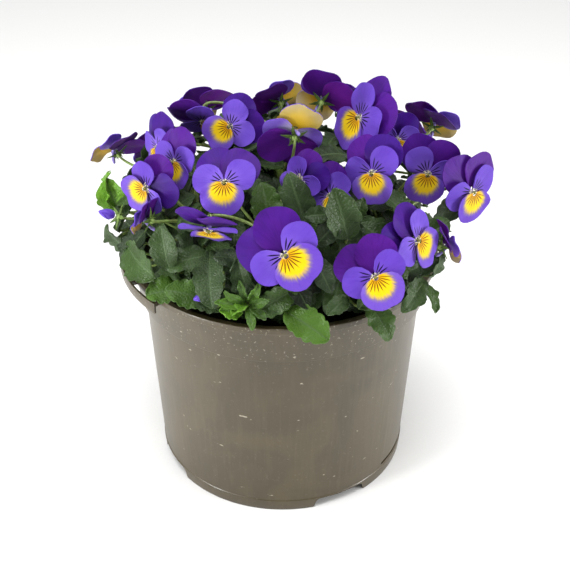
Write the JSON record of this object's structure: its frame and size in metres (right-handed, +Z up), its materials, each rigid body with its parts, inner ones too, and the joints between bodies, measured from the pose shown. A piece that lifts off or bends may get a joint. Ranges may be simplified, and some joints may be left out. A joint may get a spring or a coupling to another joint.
{
  "type": "potted viola",
  "caption": "Viola plant in a round moulded nursery pot: a mound of toothed leaves with purple, lavender and yellow blooms on thin stalks, rooted in soil.",
  "frame": {"origin": "on the floor, under the middle of the whole object's box, which is the pot's own axis to within a millimetre", "axes": "+Z up; the plant's best side, as the picture shows it, faces -Y; +X is to the viewer's right"},
  "size_m": [0.2124, 0.1904, 0.2269],
  "materials": {
    "pot": "taupe polypropylene, semi-gloss, lightly scuffed",
    "soil": "moist dark peat, crumbly and matte",
    "leaf": "fresh green leaf and stem, satin",
    "purple_petal": "deep purple petal, velvety",
    "lavender_petal": "lavender petal with a yellow blotch at the throat, velvety"
  },
  "bodies": {
    "root": {"pot": "pot", "soil": "soil", "shoot_01": "leaf", "shoot_02": "leaf", "shoot_03": "leaf", "shoot_04": "leaf", "shoot_05": "leaf", "shoot_06": "leaf", "shoot_07": "leaf", "shoot_08": "leaf", "shoot_09": "leaf", "bloom_01_banner": "purple_petal", "bloom_01_face": "lavender_petal", "bloom_02_banner": "purple_petal", "bloom_02_face": "lavender_petal", "bloom_03_banner": "purple_petal", "bloom_03_face": "lavender_petal", "bloom_04_banner": "purple_petal", "bloom_04_face": "lavender_petal", "bloom_05_banner": "purple_petal", "bloom_05_face": "lavender_petal", "bloom_06_banner": "purple_petal", "bloom_06_face": "lavender_petal", "bloom_07_banner": "purple_petal", "bloom_07_face": "lavender_petal", "bloom_08_banner": "purple_petal", "bloom_08_face": "lavender_petal", "bloom_09_banner": "purple_petal", "bloom_09_face": "lavender_petal", "bloom_10_banner": "purple_petal", "bloom_10_face": "lavender_petal", "bloom_11_banner": "purple_petal", "bloom_11_face": "lavender_petal", "bloom_12_banner": "purple_petal", "bloom_12_face": "lavender_petal", "bloom_13_banner": "purple_petal", "bloom_13_face": "lavender_petal", "bloom_14_banner": "purple_petal", "bloom_14_face": "lavender_petal", "bloom_15_banner": "purple_petal", "bloom_15_face": "lavender_petal", "bloom_16_banner": "purple_petal", "bloom_16_face": "lavender_petal", "bloom_17_banner": "purple_petal", "bloom_17_face": "lavender_petal", "bloom_18_banner": "purple_petal", "bloom_18_face": "lavender_petal", "bloom_19_banner": "purple_petal", "bloom_19_face": "lavender_petal", "bloom_20_banner": "purple_petal", "bloom_20_face": "lavender_petal", "bloom_21_banner": "purple_petal", "bloom_21_face": "lavender_petal", "bloom_22": "purple_petal", "bloom_23": "purple_petal", "bloom_24": "purple_petal", "bloom_25": "purple_petal", "bloom_26": "purple_petal", "bud_01": "purple_petal", "bud_02": "purple_petal"}
  },
  "joints": []
}
